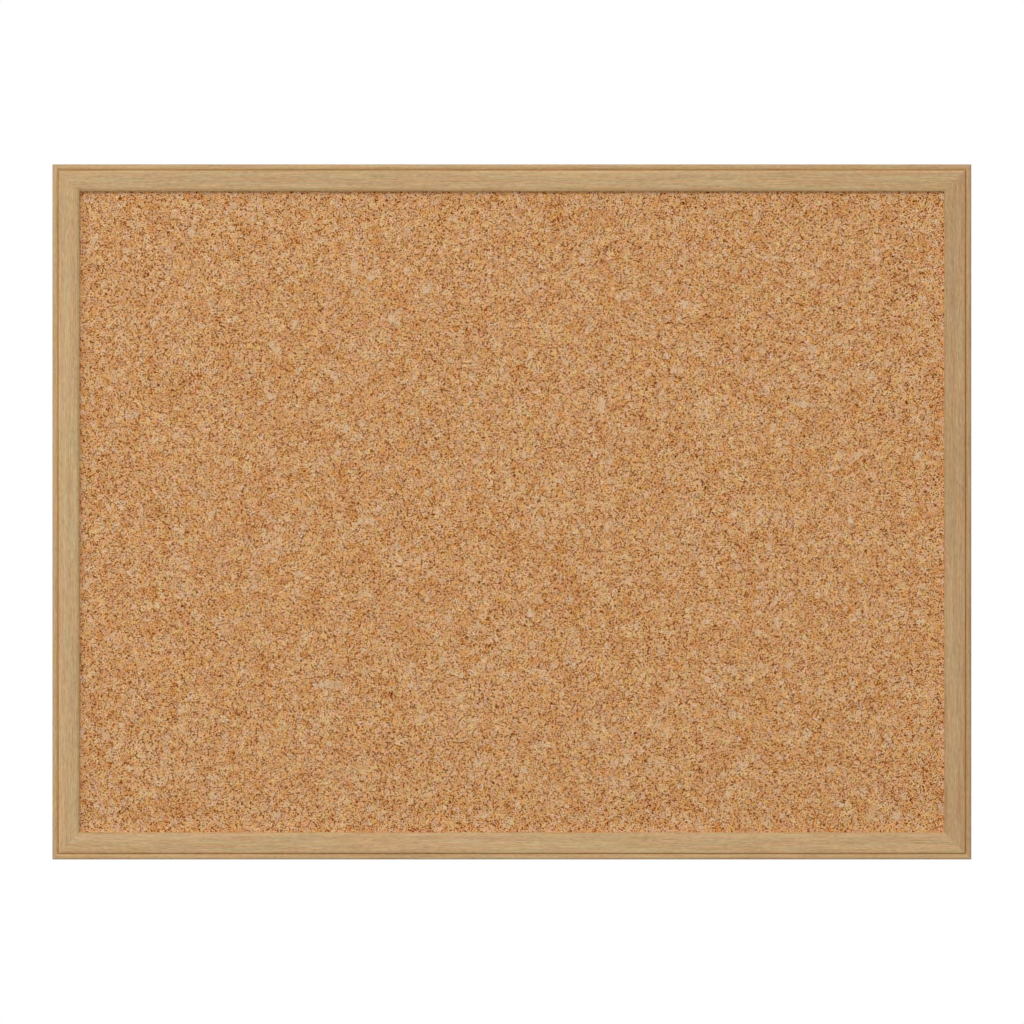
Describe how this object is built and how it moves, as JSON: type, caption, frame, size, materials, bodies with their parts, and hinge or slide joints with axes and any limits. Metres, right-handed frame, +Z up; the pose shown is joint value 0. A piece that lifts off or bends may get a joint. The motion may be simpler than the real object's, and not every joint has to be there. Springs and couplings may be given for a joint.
{
  "type": "cork board",
  "caption": "Framed cork pinboard with a mitred wooden moulding, hung on the wall by two swinging D-rings.",
  "frame": {"origin": "on the wall, halfway between the two hooks that carry the raised D-rings", "axes": "+X to the right seen from the front, +Y from the board into the wall, +Z up"},
  "size_m": [0.616, 0.0202, 0.466],
  "materials": {
    "moulding_wood": "satin, oak coloured",
    "cork": "raw fine-grained agglomerated cork",
    "fibreboard": "raw softboard",
    "grey_board": "raw grey board",
    "zinc_plated_steel": "zinc plated",
    "bright_steel_wire": "nickel plated",
    "rubber": "matte"
  },
  "bodies": {
    "board": {"bottom_rail": "moulding_wood", "top_rail": "moulding_wood", "left_stile": "moulding_wood", "right_stile": "moulding_wood", "cork_sheet": "cork", "core_board": "fibreboard", "backing_sheet": "grey_board", "v_nail_bottom_left": "zinc_plated_steel", "v_nail_bottom_right": "zinc_plated_steel", "v_nail_top_right": "zinc_plated_steel", "v_nail_top_left": "zinc_plated_steel", "framers_point_bottom_1": "zinc_plated_steel", "framers_point_bottom_2": "zinc_plated_steel", "framers_point_bottom_3": "zinc_plated_steel", "framers_point_top_1": "zinc_plated_steel", "framers_point_top_2": "zinc_plated_steel", "framers_point_top_3": "zinc_plated_steel", "framers_point_left_1": "zinc_plated_steel", "framers_point_left_2": "zinc_plated_steel", "framers_point_right_1": "zinc_plated_steel", "framers_point_right_2": "zinc_plated_steel", "left_strap": "zinc_plated_steel", "left_screw": "zinc_plated_steel", "right_strap": "zinc_plated_steel", "right_screw": "zinc_plated_steel", "left_bumper": "rubber", "right_bumper": "rubber"},
    "left_ring": {"left_ring": "bright_steel_wire"},
    "right_ring": {"right_ring": "bright_steel_wire"}
  },
  "joints": [
    {"name": "left_ring_swing", "type": "hinge", "parent": "board", "child": "left_ring", "pos_m": [-0.302, -0.0023, -0.0111], "axis": [1, 0, 0], "range_deg": [-4, 184]},
    {"name": "right_ring_swing", "type": "hinge", "parent": "board", "child": "right_ring", "pos_m": [0.302, -0.0023, -0.0111], "axis": [1, 0, 0], "range_deg": [-4, 184]}
  ]
}
